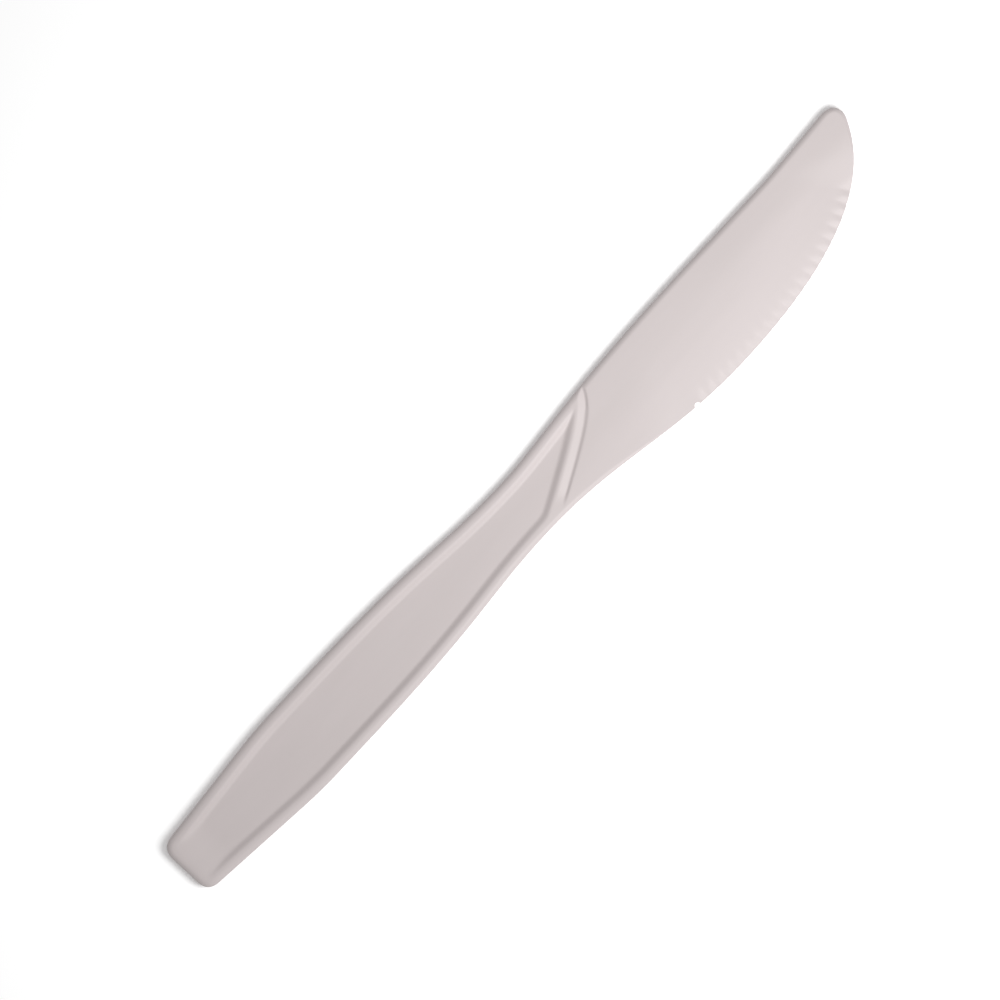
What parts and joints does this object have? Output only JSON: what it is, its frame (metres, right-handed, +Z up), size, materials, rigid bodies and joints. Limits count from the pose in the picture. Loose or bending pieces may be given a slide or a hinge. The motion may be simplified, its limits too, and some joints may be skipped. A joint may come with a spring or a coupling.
{
  "type": "disposable plastic knife",
  "caption": "Disposable moulded plastic table knife: rimmed handle with a sunk panel, slanted bolster groove, and a thin blade with a serrated cutting edge and an upswept tip.",
  "frame": {"origin": "below the middle of the knife's box, on the surface that it lies on", "axes": "+X along the handle towards the tip, +Y towards the spine, +Z up out of the upper face"},
  "size_m": [0.1654, 0.0186, 0.0022],
  "materials": {
    "white_plastic": "satin moulded polypropylene, off-white"
  },
  "bodies": {
    "root": {"knife": "white_plastic"}
  },
  "joints": []
}
